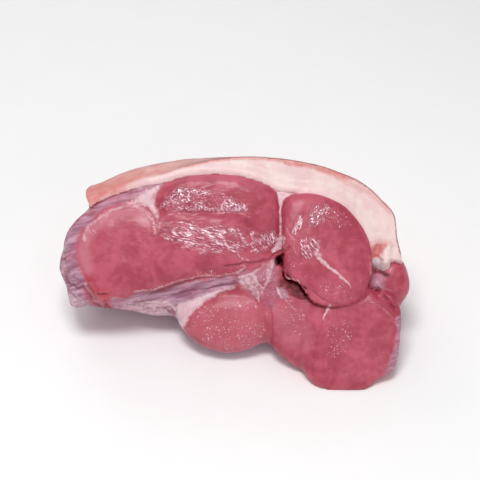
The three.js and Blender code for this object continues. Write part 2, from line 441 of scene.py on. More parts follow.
# %% Where the flap and the hollows are
EYE_MUSCLE = [
    (283.4, 253), (282.5, 240), (281, 215), (286, 200), (296, 193), (310, 194), (332, 197), (348, 209),
    (363, 226), (372, 245), (373, 262), (371, 286), (366, 296), (355, 303), (345, 305.5), (334, 306.3),
    (324.8, 306), (318, 303.2), (312.2, 301.5), (309.4, 298.2), (305.2, 292.5), (301.7, 287.6),
    (298.2, 282), (292.5, 280), (284.2, 276), (282.9, 265),
]
CAVE = [
    (275, 267), (283.5, 266), (284, 276), (292, 280), (299, 283), (303, 290), (313, 303), (318, 305),
    (308, 304), (300, 301), (290, 298), (282, 296), (276, 290),
]
BESIDE_FLAP = [(365, 268), (388, 268), (393, 284), (388, 296), (376, 298), (365, 292)]
HOLE = [(276.4, 258.2), (280, 256.2), (283.6, 254.4), (284, 262), (284, 270), (281.8, 266.5), (278, 264)]
FLAP_LEVEL = 7.0  # mm out of the face
CAVE_LEVEL = -5.0
BESIDE_LEVEL = -8.0
HOLE_DEPTH = 7.0  # mm
MOST_LIFT = 24  # mm that a point may be lifted
DEEPEST = -34  # mm out of the face, below which nothing is lifted
FLAP_ROW, FLAP_COLUMN = 250, 350  # the flap is lifted below this row and left of this column
NOT_FLAP = -9  # a depth inside the outline that counts as well outside
print("the flap stands at", FLAP_LEVEL, "mm and the hollow at", CAVE_LEVEL, "mm")


# %% Lift the flap and the hollows, and sink the hole
def fill(inside, level, fade):
    """Lifts what lies below a level, in mm, where the depth inside an outline is above 0."""
    missing = np.clip(level - view.height, 0, MOST_LIFT) * (view.height > DEEPEST)
    push(lean, view, missing * ramp(inside, -fade, fade), OUT)
    view.height = seen_at(view.points)[2]


flap = depth_inside(view, EYE_MUSCLE)
fill(depth_inside(view, CAVE), CAVE_LEVEL, 3.0)
fill(depth_inside(view, BESIDE_FLAP), BESIDE_LEVEL, 3.0)
lifted = (view.y > FLAP_ROW) & (view.x < FLAP_COLUMN)
fill(np.where(lifted, flap, NOT_FLAP), FLAP_LEVEL, 0.8)
push(lean, view, -HOLE_DEPTH * patch(view, HOLE, 1.6), OUT)

# %% Model the flap's lip
LOW_SIDE = (262, 276)  # the pixel rows over which the flap's lower side begins
low_side = ramp(view.y, *LOW_SIDE) * view.shown
left_part = ramp(view.x, 352, 314)
lip = 0.8 * ramp(flap, 0.2, 1.6) * ramp(flap, 7, 2)
groove = (0.4 + 0.9 * left_part) * ramp(flap, 0.1, -0.8) * ramp(flap, -2.4, -1.2)
push(lean, view, (lip - groove) * low_side, OUT)

# %% [markdown]
# ## The lean: where the knife chattered
#
# Where the muscle was cut along its grain, the surface is roughened into short wet ridges that
# sparkle: dots on the upper muscle, dashes that fall to the right on the middle one, and dashes
# that stand steeply or rise to the right on the eye muscle. On the first two muscles the mesh
# takes a coarse share of them. The material's bump gives the rest, and much of the sparkle is
# painted highlights. The largest gleams are painted highlights, strokes of their own, and
# elsewhere small beads of juice lie on the meat, with painted glints on them.

# %% Model the wet ridges
WET_PATCHES = {  # name: outlines, and the pixels that their edges fade over
    "dotted": ([
        [
            (160, 202), (169, 191), (188, 185), (216, 190), (236, 197), (250, 207), (242, 213),
            (200, 213.5), (162, 212),
        ],
        [(206, 203), (216, 197), (232, 196), (251, 208), (242, 214), (212, 214)],
        [(164, 200), (174, 190), (192, 189), (192, 210), (166, 211)],
    ], 10),
    "falling": ([[
        (156, 230), (178, 219), (208, 220), (238, 225), (250, 238), (247, 252), (230, 258),
        (205, 258), (180, 249),
    ]], 19),
    "steep": ([
        [(250, 230), (262, 232), (276, 228), (279, 238), (270, 250), (258, 255), (250, 248)],
        [(299, 238), (308, 236), (320, 241), (320, 255), (308, 260), (299, 255)],
    ], 6),
    "rising": ([
        [(306, 215), (312, 204), (327, 203), (332, 212), (322, 224), (310, 230)],
        [(290, 234), (296, 216), (303, 212), (304, 222), (297, 238)],
    ], 7),
}
ROUGHNESS = 0.6  # mm
for name, (outlines, fade) in WET_PATCHES.items():
    keep(lean, name, strongest(*(patch(view, corners, fade) for corners in outlines)))
cut_along = WET_PATCHES["dotted"][0] + WET_PATCHES["falling"][0]
roughened = strongest(*(patch(view, corners, 14) for corners in cut_along))
ripples = grain(view.points, 1.9, seed=5, stretch=(3.0, 1, 2))
push(lean, view, ROUGHNESS * roughened * ripples)

# %% Mark the large gleams, which are painted highlights
GLEAMS = [  # line, width in pixels
    # on the middle muscle
    ([(237.5, 230), (241, 236), (245.5, 243), (251, 244)], 2.04),
    ([(229, 229), (233, 231), (237, 236)], 2.89), ([(258, 241), (262, 245), (266, 247)], 1.87),
    ([(262, 236), (266, 240), (271, 241)], 1.87), ([(251, 251), (255, 249.5), (259, 251)], 2.21),
    ([(237.5, 251), (240.5, 257), (248, 261)], 1.53), ([(179, 222), (187, 224), (196, 226.5)], 1.36),
    ([(180, 226), (189, 229), (200, 231)], 1.36), ([(198, 232), (204, 234), (209, 235)], 1.36),
    ([(213, 229), (219, 231), (224, 232)], 1.53), ([(212, 240), (219, 243), (228, 245)], 2.38),
    ([(197, 246), (203, 244), (209, 247), (218, 251)], 1.87),
    ([(224, 241), (227, 245), (228, 249)], 2.38), ([(184, 232), (188, 234), (190, 237)], 3.4),
    ([(163, 236), (166, 238), (172, 239)], 2.55),
    # on the upper muscle
    ([(222, 197), (228, 199), (234, 203), (241, 208)], 1.87),
    ([(236, 209), (241, 209.5), (245, 206)], 2.38), ([(218, 209), (223, 209.5)], 2.21),
    ([(196, 205), (203, 206.5)], 2.04), ([(203, 192), (209, 191)], 1.53),
    ([(170, 199), (174, 202), (180, 203)], 2.55), ([(176, 193), (182, 190), (187, 188.5)], 1.7),
    # on the eye muscle
    ([(314, 216), (317, 209)], 1.275), ([(318, 217), (321, 209)], 1.275),
    ([(322, 215), (325, 207)], 1.275), ([(326, 213), (329, 206)], 1.275),
    ([(310, 226), (313, 219)], 2.04), ([(293, 236), (297, 227), (301, 217)], 1.36),
    ([(301, 248), (305, 253)], 1.36), ([(304, 246), (308, 252)], 1.36),
    ([(307, 245), (311, 251)], 1.36), ([(311, 243), (313, 248)], 1.36),
    ([(315, 243), (317, 248)], 1.53), ([(301, 241), (306, 239.5)], 1.36),
]
keep(lean, "gleam", strongest(*(stroke(view, line, width) for line, width in GLEAMS)))

# %% Mark where beads of juice lie, with painted glints
BESIDE_FILM = [(371, 273), (385, 275), (386.5, 284), (383, 288), (373, 286)]
GLINTING_BEADS = [
    [
        (150, 287), (165, 283), (182, 276), (200, 270), (225, 267), (243, 264), (244, 270),
        (225, 275.5), (200, 277), (184, 280.5), (166, 286.5), (152, 291),
    ],
    [(185, 330), (195, 312), (215, 300), (245, 295), (262, 305), (266, 330), (250, 348), (215, 349)],
    [
        (88, 232), (100, 215), (125, 204), (140, 205), (152, 212), (158, 230), (152, 232),
        (143, 215), (128, 213), (106, 221), (92, 238),
    ],
    [(246, 272), (268, 268), (278, 280), (276, 310), (262, 316), (250, 292)],
    [(284, 289), (300, 302), (308, 322), (302, 336), (288, 330), (274, 312), (274, 296)],
    [(330, 320), (350, 318), (352, 345), (335, 360), (322, 345)],
    [(310, 200), (345, 212), (352, 228), (335, 232), (318, 222)],
    [(318, 280), (345, 284), (352, 298), (330, 304), (316, 294)],
    BESIDE_FILM,
]
EYE_GLINTING_BEADS = [(285, 235), (297, 240), (304, 262), (310, 280), (300, 278), (287, 272), (285, 250)]
glinting_beads = strongest(*(patch(view, corners, 8) for corners in GLINTING_BEADS))
keep(lean, "glinting_beads", strongest(glinting_beads, 0.7 * patch(view, EYE_GLINTING_BEADS, 8)))

# %% [markdown]
# ## The lean: film
#
# Thin film, bluish and shiny, wraps each muscle, and it covers all of the back and the
# underside. Each kind of tissue is one attribute: the strongest of the strokes and patches that
# show it. The mesh has moved, so it is surveyed again first, with its folds and its flap.

# %% Where the film lies
SHANK_WALL = [
    (58, 262), (63, 238), (78, 220), (88, 207), (94, 206), (88, 220), (78, 236), (75, 250), (79, 266),
    (86, 282), (96, 296), (108, 312), (80, 310), (64, 296),
]
PURPLE_STRIP = [
    (84, 218), (92, 205), (110, 194.5), (131, 187), (150, 181), (163, 179), (160, 189), (146, 196),
    (126, 201), (106, 208), (92, 219), (85, 228), (80, 226),
]
BELLY = [
    (112, 312), (112, 298), (126, 299), (140, 293), (164, 289.5), (182, 283), (212, 279), (242, 275),
    (243, 281), (220, 291), (202, 301), (188, 310), (180, 324), (170, 322), (140, 322),
]
WEB = [(240, 276), (256, 268), (272, 262), (279, 268), (279, 290), (274, 312), (262, 300), (250, 296)]
WEB_END = [(236, 272), (250, 270), (252, 280), (240, 284)]
RIGHT_FILM = [(396, 316), (418, 314), (418, 350), (402, 378), (384, 382), (388, 362), (396, 342)]
CAVE_GLEAM = [(276, 288), (281, 287), (286, 291), (289, 297), (285, 299), (279, 296)]
CAVE_SHADE = [
    (284.6, 273), (293, 277), (299, 279), (304, 286), (310, 296), (314, 301), (309, 302), (303, 300),
    (298, 298), (292, 295), (287, 291), (282, 288), (278.5, 287), (279.5, 281),
]
MAROON = [(82, 284), (94, 290), (108, 297), (111, 310), (94, 307), (86, 299)]
FILM_PATCHES = [  # strength, fade in pixels, corners
    (1.0, 5, SHANK_WALL), (0.75, 4, PURPLE_STRIP), (1.0, 4, BELLY), (0.45, 6, WEB),
    (0.6, 5, WEB_END), (0.8, 3, RIGHT_FILM), (0.8, 4, CAVE_GLEAM), (0.6, 4, BESIDE_FILM),
]
print(len(FILM_PATCHES), "patches of film")


# %% Paint the film
def painted(view, lines=(), patches=()):
    """The strongest of lines (strength, width, line, taper) and patches (strength, fade, corners)."""
    return strongest(
        *(strength * stroke(view, line, width, *taper) for strength, width, line, *taper in lines),
        *(strength * patch(view, corners, fade) for strength, fade, corners in patches),
    )


view = survey(lean)
flap = depth_inside(view, EYE_MUSCLE)
low_side = ramp(view.y, *LOW_SIDE) * view.shown
shank_folds = in_shank_folds(view)
knuckle_side = ramp(view.x, 388, 398) * ramp(view.y, 308, 320)
behind = ramp(view.facing, 0.45, 0.1) * ramp(view.height - 14 * knuckle_side, -12, -22)
film = strongest(behind, painted(view, patches=FILM_PATCHES))
maroon = patch(view, MAROON, 6)
cave_shade = patch(view, CAVE_SHADE, 4.5) * ramp(flap, 0.5, -0.4)
cave_shade *= np.clip(0.8 + 0.9 * grain(view.points, 2.4, seed=12), 0.3, 1)
keep(lean, "film", film * (1 - 0.65 * maroon) * (1 - 0.9 * cave_shade))
wall = ramp(view.x, 100, 88) * ramp(view.height, -8, -16) * ramp(view.height, -45, -30)
keep(lean, "wall", wall)
keep(lean, "behind", ramp(view.height, -22, -40))

# %% [markdown]
# ## The lean: sinew and painted highlights
#
# White sinew runs in the seams, and here and there a seam holds fat. It is drawn as thin
# lines, some tapered, over a few pale patches. The same white also paints highlights: along the
# oval's rim, just above the edge of the inside, on the flap's lower lip, and as small glints beside
# the eye muscle.

# %% Where the sinew and the white fat lie
VEIN = [(316, 254), (323, 262), (331, 269), (340, 275), (348, 283), (350, 288)]
WHITE_CORNER = [
    (126, 203), (140, 195), (152, 187), (162, 182), (158, 192), (155, 200), (158, 212), (158, 222),
    (154, 216), (148, 208), (138, 205),
]
FAT_IN_SEAM = [
    (250, 174), (262, 182.5), (273, 188), (277.5, 196), (279.5, 216), (281.5, 216), (282.5, 203),
    (287, 197), (300, 191), (300, 180), (275, 172),
]
SEAM_FOOT = [(276, 238), (282, 234), (285, 240), (280, 250), (273, 252)]
WHITE_BELLY = [
    (176, 316), (178, 304), (192, 299), (210, 292), (230, 287), (236, 288), (222, 293), (206, 302),
    (192, 314), (184, 328), (179, 326),
]
LOW_BELLY = [(122, 302), (150, 300), (168, 305), (168, 317), (124, 313)]
SHANK_CORNER = [(67, 287), (76, 292), (84, 300), (87, 308), (72, 308)]
PALE_TISSUE = [
    (236, 279), (247, 275), (257, 276), (260, 286), (262, 298), (256, 296), (246, 291), (237, 287),
]
TISSUE_STRANDS = [
    [(238, 277), (246, 275.5), (254, 273)], [(238, 282), (245, 283), (253, 287)],
    [(248, 279), (255, 287), (258, 293), (259.5, 301)], [(254, 274), (257, 281), (262, 288)],
]
WEB_STRAND = [
    (277.4, 257), (277.2, 263), (272, 270), (270, 279), (266, 287), (262, 294), (261, 292), (264, 284),
    (266.4, 275), (266.6, 268), (271, 260.5),
]
SINEW_PATCHES = [  # strength, fade in pixels, corners
    (0.75, 3, SEAM_FOOT), (0.9, 9, WHITE_CORNER), (0.95, 2.5, FAT_IN_SEAM), (0.55, 6, LOW_BELLY),
    (0.9, 6, WHITE_BELLY), (0.55, 12, PALE_TISSUE), (0.6, 4, WEB_STRAND), (0.55, 5, SHANK_CORNER),
]
print(len(SINEW_PATCHES), "pale patches")

# %% Paint the sinew
SINEW_LINES = [  # strength, width in pixels, line, and the share of the width at its two ends
    # the OVAL_RIM line is a painted highlight along the oval's rim
    (0.75, 3.6, VEIN, 1.3, 0.4), (0.7, 3.4, SEAM_UP, 0.5, 1.6), (0.5, 4.2, OVAL_RIM),
    # the line just above EDGE_OF_INSIDE is a painted highlight
    (0.5, 1.6, EYE_CRACK), (0.5, 2.8, shifted(EDGE_OF_INSIDE, 0, -2.0)),
    (0.4, 1.8, shifted(SEAM_UNDER_MIDDLE, 0, -1.5)), *((0.7, 2.2, line) for line in TISSUE_STRANDS),
    # between the rind and the left oval
    (0.55, 6, [(108, 193.5), (125, 190), (142, 187), (158, 183)], 0.6, 1.2),
    (0.45, 2.6, [(93, 203), (104, 197.5), (118, 191.5), (134, 186), (150, 181)]),
    (0.4, 4, [(154, 212), (157, 226), (157, 238)]),
    # along the belly's fold, and in the web
    (0.8, 3, [(148, 302), (160, 302.5), (169, 304), (175, 310), (178, 320)]),
    (0.45, 1.6, [(252, 291), (254, 300), (256, 309)]),
    (0.45, 3, [(250, 279), (256, 272), (266, 264)]),
    # in the hollow, and below the flap
    (0.85, 2.2, [(276.8, 288), (278.3, 293.5), (282, 297.5)], 1.3, 0.6),
    (0.45, 2.5, [(286, 299), (291, 306), (297, 311)]),
    (0.7, 3, [(323, 321), (326, 313), (329, 306)], 0.5, 1.2),
    (0.4, 2.4, [(368, 297), (373, 302.6), (379.4, 306), (388, 313), (398, 326)]),
    # on the eye muscle, and beside it
    (0.5, 4, [(318, 242), (318, 250), (321, 259)]),
    (0.45, 1.8, [(371, 258), (370, 270), (371, 280)]),
    # the next two lines are painted glints
    (0.55, 1.3, [(374, 279), (379, 284), (384, 287)]),
    (0.55, 1.3, [(376, 283.5), (381, 287.5), (385, 291)]),
]
# a painted highlight along the flap's lower lip
lip_highlight = 0.65 * ramp(flap, -0.5, 0.4) * ramp(flap, 2.4, 1) * low_side
lip_highlight *= ramp(view.x, 318, 300)
white = strongest(painted(view, SINEW_LINES, SINEW_PATCHES), lip_highlight, 0.3 * shank_ridges)
keep(lean, "white", white)
keep(lean, "cream", painted(view, patches=[(0.7, 9, PALE_TISSUE), (0.4, 3, WEB_STRAND)]))

# %% [markdown]
# ## The lean: blood, pale meat and shade
#
# Fresh cuts are redder where blood gathers, and muscle pales towards its rim. The lower lobe,
# which faces down, and the lean where it meets the fat are painted lighter too, as painted light
# against the shade there. The deepest creases hold almost no light. The colour has to help them,
# because the light that scatters inside the meat would fill them.

# %% Paint the red and the pale meat
BLOODY = [
    (78, 262), (84, 270), (92, 283), (104, 290), (112, 293), (110, 300), (98, 297), (86, 288), (78, 274),
]
BLOODY_HOLLOW = [(276, 265), (283, 265), (283.4, 275), (279, 284), (275, 280)]
LOWER_LOBE = [(186, 330), (205, 304), (240, 296), (262, 310), (262, 340), (225, 350)]
BESIDE_LOBE = [(272, 305), (300, 306), (312, 330), (308, 352), (285, 345), (272, 330)]
INSIDE_RIM = [(86, 268), (84, 246), (92, 228), (110, 216), (130, 210), (148, 220)]
UNDER_FAT = [(165, 182), (200, 177), (240, 179), (262, 184)]

blood = painted(view, patches=[(0.8, 6, BLOODY), (0.8, 3, BLOODY_HOLLOW), (0.4, 12, LOWER_LOBE)])
keep(lean, "red", strongest(blood, 0.4 * shank_folds, 0.4 * maroon))
fat_skin = BVHTree.FromObject(fat, bpy.context.evaluated_depsgraph_get())
to_fat = np.array([fat_skin.find_nearest(point)[3] for point in view.points]) / MM
# paler rims, and the LOWER_LOBE patch is painted light on a lobe that faces down
pale = painted(
    view, lines=[(0.5, 13, INSIDE_RIM), (0.15, 7, UNDER_FAT)],
    patches=[(0.3, 14, LOWER_LOBE), (0.22, 12, BESIDE_LOBE)],
)
# painted light where the lean meets the fat, so that no contact shade shows there
keep(lean, "pale", strongest(pale, 0.6 * ramp(to_fat, 2.2, 0.3) * view.shown))

# %% Paint the shade
UNDER_EDGE = [(160, 292), (184, 283), (212, 279), (240, 278), (238, 284), (208, 288), (180, 294)]
SHADE_LINES = [  # strength, width, line
    (0.7, 1.3, [(283.4, 252), (283, 265), (284, 276)]),  # beside the flap's left edge
    (0.6, 2.5, [(156, 308), (165, 307.5), (170, 312)]),  # in the belly's fold
    (0.95, 3.2, [(375, 271.5), (381, 271.5), (388, 275.5)]),  # below the end of the fat
    (0.65, 2.2, [(372, 288), (377, 288), (381, 289.5)]), (0.65, 2.2, [(383, 294.5), (387, 299)]),
    (0.65, 2.2, [(390.5, 304.5), (394.5, 308)]), (0.22, 1.6, SEAM_TO_FLAP),
]
under_lip = ramp(flap, 0.1, -0.4) * ramp(flap, -1.8, -0.8) * low_side * left_part
keep(lean, "dark", strongest(
    painted(view, SHADE_LINES, [(1.0, 1.4, HOLE), (0.16, 4, UNDER_EDGE)]),
    0.6 * under_lip, 0.9 * cave_shade, 0.35 * shank_folds,
))

# %% [markdown]
# ## The fat and the rind
#
# The rind is the skin of the leg: a tough sheet some two millimetres thick on the outside of
# the soft fat. It is told from the fat by measuring how far each point lies from the outer
# side, which gives it one even thickness at every cut, also round the corners. Two places of
# the outline are pulled into line first, as on the lean.

# %% Pull the outline of the fat
FAT_DRAGS = [  # place, reach in pixels, mm across and up the face
    ((90, 189), 15, (-4.0, 0.8)),  # the rind's left end
    ((394, 216), 25, (3.0, 1.0)),  # the right side
]
view = survey(fat)
for pull in FAT_DRAGS:
    drag(fat, view, *pull)

# %% Find the outer side of the fat
view = survey(fat)
lean_skin = BVHTree.FromObject(lean, bpy.context.evaluated_depsgraph_get())
to_lean = np.array([lean_skin.find_nearest(point)[3] for point in view.points]) / MM

HEART = np.array(TO_WORLD @ (Vector((-14, 116, -40)) * MM))  # the point that the cap curves round
outwards = view.points - HEART
outwards /= np.linalg.norm(outwards, axis=1)[:, None]
out_facing = (outwards * view.normals).sum(1)
on_cut = ramp(view.facing, 0.75, 0.95) * ramp(view.height, -16, -10)
clear = (to_lean > 6) & (view.points[:, 2] > 1.5 * MM)  # of the lean and of the board
skin_points = view.points[(out_facing > 0.35) & (on_cut < 0.3) & clear]
outer = kdtree.KDTree(len(skin_points))
for index, point in enumerate(skin_points):
    outer.insert(point, index)
outer.balance()
to_skin = np.array([outer.find(point)[2] for point in view.points]) / MM
print(len(skin_points), "points of the fat are its outer side")

# %% [markdown]
# ## The fat: laid against the lean
#
# Fat doesn't stop short of the muscle it grew on. So the cut fat climbs towards the lean, and
# its inner side is laid a little way into it, which leaves no gap between the two pieces.

# %% Model the fat
rise = 0.3 * grain(view.points, 12, seed=6) + 0.15 * grain(view.points, 4, seed=7)
rise += 1.2 * grain(view.points, 45, seed=11) * ramp(view.height, -25, -60)
push(fat, view, rise)
CLIMB = 4.0  # mm that the cut fat rises towards the lean
push(fat, view, CLIMB * on_cut * ramp(to_lean, 11, 1), OUT)

LAID_IN = 0.5  # mm that the fat reaches into the lean
MELTS = (5.0, 1.8)  # mm from the lean where the fat starts to lean over to it, and touches it
seats = [lean_skin.find_nearest(point) for point in view.points]
seat = np.array([hit[0] - hit[1] * LAID_IN * MM for hit in seats])
melted = ramp(np.array([hit[3] for hit in seats]) / MM, *MELTS)[:, None]
view.points = view.points * (1 - melted) + seat * melted
settle(fat, view)
print(f"{np.mean(melted > 0.5):.1%} of the fat's points lean over to the lean")

# %% [markdown]
# ## The folded end of the fat, and the rind's colours
#
# The end of the fat is folded in beside the eye muscle: a white roll with a red bruise above it
# and a shiny crease between the two. At the shank the slanting rind is seen from outside, so it
# looks wider there. A white band of fat shows between it and the lean.

# %% Model the folded end
FOLD_ROLL = [(388, 246), (386, 256), (385, 268)]
FOLD_CREASE = [(378, 246), (376, 254), (380, 261)]
FOLD_FOOT = [(373, 262), (378, 265), (382, 266)]
rise = 2.4 * stroke(view, FOLD_ROLL, 7) - 2.0 * stroke(view, FOLD_CREASE, 3.5)
rise += 0.9 * stroke(view, FOLD_FOOT, 4)
push(fat, view, rise)

# %% Paint the rind
RIND = 1.9  # mm thick
shank_side = ramp(view.x, 185, 110) * ramp(view.height, -30, -14)
right_end = ramp(view.x, 345, 378) * ramp(view.height, -34, -22)
left_end = ramp(view.x, 148, 112)
rind_here = RIND + 4.4 * shank_side - 1.5 * right_end
soft_edge = 0.9 + 0.5 * grain(view.points, 6, seed=10) + 1.4 * shank_side
rind = ramp(to_skin, rind_here + soft_edge, rind_here - soft_edge)
under_rind = ramp(view.x, 112, 145) * ramp(view.x, 215, 180)
inner_band = ramp(to_lean - 1.0 * left_end - 3.6 * under_rind, 0.8, 2.4 + 2.0 * under_rind)
keep(fat, "rind", rind * np.maximum(inner_band, 1 - view.shown))
front = ramp(view.height, -24, -12) * ramp(view.x, 150, 220)
# painted shade where the rind turns sideways to the face, kept off the lean
horizon_shade = ramp(view.facing, 0.3, 0.1) * ramp(view.facing, -0.35, -0.1)
horizon_shade *= ramp(to_lean, 2.5, 6)
outermost = ramp(to_skin, 1.0, 0.2) * np.maximum(on_cut, front)
keep(fat, "rim", np.maximum(outermost, 0.5 * horizon_shade))

# %% Paint the blushes
BRUISED = [(372, 247), (378, 243.5), (385, 244), (384, 250), (380, 255), (376, 258), (371, 258)]
SHINY_CREASE = [(371, 259), (380, 259), (384, 265), (380, 271), (372, 268)]
BLUSH_LINES = [  # strength, width, line, taper
    (0.15, 4, [(190, 157), (235, 157), (262, 159), (290, 163)]),
    (0.9, 6, [(284, 163), (305, 166), (330, 173), (346, 180)], 0.6, 1.0),
    (0.5, 5, [(345, 182), (362, 189), (380, 201), (390, 212)]),
    (0.4, 5, [(372, 243), (380, 241), (389, 243)]),
]
sunned = 0.85 * left_end * ramp(view.height, -75, -35)
keep(fat, "blush", strongest(painted(view, BLUSH_LINES), sunned))
keep(fat, "bruise", patch(view, BRUISED, 5))
keep(fat, "pink", ramp(to_lean, 5, 0.5) * view.shown)
keep(fat, "gleam", patch(view, SHINY_CREASE, 3))

# %% [markdown]
# ## Procedural materials
#
# A small helper makes the nodes, sets their sockets and links their outputs. Colours are written
# as the eye sees them and turned linear, since the shader wants linear light. All textures read
# Object coordinates, which are turned into the face's frame where fibres are stretched along it.


# %% A small kit for nodes
def linear(red, green, blue):
    """A colour from its 0 to 255 values, for a shader."""
    parts = [value / 255 for value in (red, green, blue)]
    return tuple(p / 12.92 if p <= 0.04045 else ((p + 0.055) / 1.055) ** 2.4 for p in parts) + (1.0,)


class Finish:
    """A material and short ways to add nodes to it."""

    def __init__(self, name):
        self.material = bpy.data.materials.new(name)
        self.material.use_nodes = True
        self.nodes = self.material.node_tree.nodes
        self.links = self.material.node_tree.links
        self.shader = self.nodes["Principled BSDF"]
        self.place = self.node("TexCoord").outputs["Object"]

    def put(self, socket, value):
        """Links an output to a socket, or sets the socket to a value."""
        if isinstance(value, bpy.types.NodeSocket):
            self.links.new(value, socket)
        else:
            socket.default_value = value

    def fit(self, node, **sockets):
        """Fills a node's sockets by name. Base_Color stands for Base Color."""
        for name, value in sockets.items():
            self.put(node.inputs[name.replace("_", " ")], value)
        return node

    def node(self, kind, **sockets):
        return self.fit(self.nodes.new("ShaderNode" + kind), **sockets)

    def mapped(self, turn=(0, 0, 0), stretch=(1, 1, 1)):
        """Object coordinates turned into the face's frame, and stretched there."""
        on_face = self.node("Mapping", Vector=self.place, Rotation=(-FACE_LEAN, 0, 0))
        turned_once = self.node("Mapping", Vector=on_face.outputs[0], Rotation=turn)
        squeeze = tuple(1 / share for share in stretch)
        return self.node("Mapping", Vector=turned_once.outputs[0], Scale=squeeze).outputs[0]

    def noise(self, size, detail=3.0, roughness=0.5, distortion=0.0, where=None):
        """Noise whose lumps are about `size` mm."""
        made = self.node(
            "TexNoise", Vector=where or self.place, Scale=1 / (size * MM),
            Detail=detail, Roughness=roughness, Distortion=distortion,
        )
        return made.outputs["Fac"]

    def steps(self, value, low, high, from_value=0.0, to_value=1.0):
        """value, stretched so that low..high becomes from_value..to_value."""
        made = self.node(
            "MapRange", Value=value, From_Min=low, From_Max=high,
            To_Min=from_value, To_Max=to_value,
        )
        made.interpolation_type = "SMOOTHSTEP"
        return made.outputs["Result"]

    def math(self, how, first, second):
        made = self.node("Math")
        made.operation = how
        self.put(made.inputs[0], first)
        self.put(made.inputs[1], second)
        return made.outputs[0]

    def times(self, first, second):
        return self.math("MULTIPLY", first, second)

    def mask(self, name):
        """The strength that the mesh keeps under a name."""
        made = self.node("Attribute")
        made.attribute_name = name
        return made.outputs["Fac"]

    def blend(self, share, first, second):
        """The first colour where the share is 0, and the second where it is 1."""
        made = self.node("Mix")
        made.data_type = "RGBA"
        self.put(made.inputs["Factor"], share)
        self.put(made.inputs[6], first)
        self.put(made.inputs[7], second)
        return made.outputs[2]

    def bump(self, height, distance, before=None, strength=1.0):
        """A normal tilted by a height, on top of the one before."""
        made = self.node("Bump", Height=height, Strength=strength, Distance=distance)
        if before is not None:
            self.links.new(before, made.inputs["Normal"])
        return made.outputs["Normal"]


# %% [markdown]
# ## The finish of the lean
#
# Raw pork is a deep pink, mottled at two scales: broad fields of lighter and darker muscle,
# and the fine bundles of fibre. Over that lie the paler rims and some painted light, the blood,
# and the film, whose streaks run along the belly, down the shank's wall, or along the leg at the back.

# %% The colours of the lean
meat = Finish("raw_lean")
DEEP = linear(166, 52, 74)
FRESH = linear(194, 84, 106)
PALE_MEAT = linear(212, 136, 152)
FILM_BLUE = linear(146, 94, 120)
FILM_WHITE = linear(206, 166, 186)
SINEW = linear(238, 209, 215)
BLOOD = linear(186, 40, 52)
PAINTED_SHADE = linear(92, 10, 18)
GLINT = linear(252, 228, 236)
PAINTED_SHEEN = linear(218, 134, 160)
GAP_SHADE = linear(140, 46, 80)
CREAM_TISSUE = linear(241, 222, 220)
print("fresh meat is", FRESH)

# %% Muscle, film and sinew
fields = meat.noise(22, 2, 0.5, 0.6)
bundles = meat.noise(4.5, 4, 0.5)
tone = meat.math("ADD", meat.times(fields, 0.65), meat.times(bundles, 0.35))
colour = meat.blend(meat.steps(tone, 0.36, 0.65), DEEP, FRESH)
# paler rims, with painted light on the lower lobe and next to the fat
colour = meat.blend(meat.mask("pale"), colour, PALE_MEAT)
colour = meat.blend(meat.times(meat.mask("red"), 0.6), colour, BLOOD)
flecks = meat.steps(meat.noise(5, 5, 0.65, 0.8), 0.58, 0.75)
colour = meat.blend(meat.times(flecks, 0.3), colour, PALE_MEAT)

along_belly = meat.noise(3.6, 3, 0.55, 0.5, meat.mapped(turn=(0, 0, -0.25), stretch=(6, 1, 2)))
down_wall = meat.noise(3.6, 3, 0.55, 0.5, meat.mapped(turn=(0, 0, 0.15), stretch=(1, 6, 2)))
along_leg = meat.noise(5, 4, 0.5, 0.4, meat.mapped(turn=(0.2, 0.15, 0), stretch=(1, 1, 7)))
streaks = meat.blend(meat.mask("behind"), along_belly, along_leg)
streaks = meat.blend(meat.mask("wall"), streaks, down_wall)
film_colour = meat.blend(meat.steps(streaks, 0.33, 0.68), FILM_BLUE, FILM_WHITE)
patchy = meat.steps(meat.noise(12, 3, 0.6, 0.3), 0.3, 0.55, 0.6, 1.0)
film_cover = meat.times(meat.mask("film"), patchy)
colour = meat.blend(meat.times(film_cover, 0.9), colour, film_colour)

frayed = meat.steps(meat.noise(2.6, 3, 0.6), 0.25, 0.75, -0.2, 0.2)
ragged = meat.math("ADD", meat.mask("white"), frayed)
sinew = meat.blend(meat.mask("cream"), SINEW, CREAM_TISSUE)
colour = meat.blend(meat.times(meat.steps(ragged, 0.2, 1.0), 0.85), colour, sinew)
print(len(meat.nodes), "nodes so far")

# %% [markdown]
# ## The wet sparkle and the light in the meat
#
# The sparkle is partly the lamp in a thin wet coat and partly painted. Noise stretched to short dashes
# makes the ridges:
# four patterns, with painted highlights on the crests and painted shade in the gaps. The beads are small
# round noise in clusters, with painted glints on them. The same heights tint the meat with a painted
# sheen, tilt its normal, and say where the coat lies. The dark creases wear none, or they would shine.
# Light goes a little way into meat and comes out redder, which subsurface scattering gives.

# %% Ridges and the gaps between them
RIDGES = [  # attribute, turn in radians, width in mm, length in widths
    ("dotted", 0.35, 1.0, 1.5), ("falling", 0.3, 0.85, 6.5), ("steep", 1.0, 0.85, 4.5),
    ("rising", -1.1, 0.85, 5.5),
]
broken = meat.steps(meat.noise(7, 3, 0.6, 0.5), 0.4, 0.58, 0.66, 1.0)
ridges = shaded_gaps = 0.0
for name, turn, size, length in RIDGES:
    here = meat.times(meat.mask(name), broken)
    dashes = meat.noise(size, 1, 0.4, 0.1, meat.mapped(turn=(0, 0, turn), stretch=(length, 1, 1)))
    between = meat.times(meat.steps(dashes, 0.36, 0.48, 1.0, 0.0), here)
    ridges = meat.math("MAXIMUM", ridges, meat.times(dashes, here))
    shaded_gaps = meat.math("MAXIMUM", shaded_gaps, between)
print(len(RIDGES), "patterns of ridges")
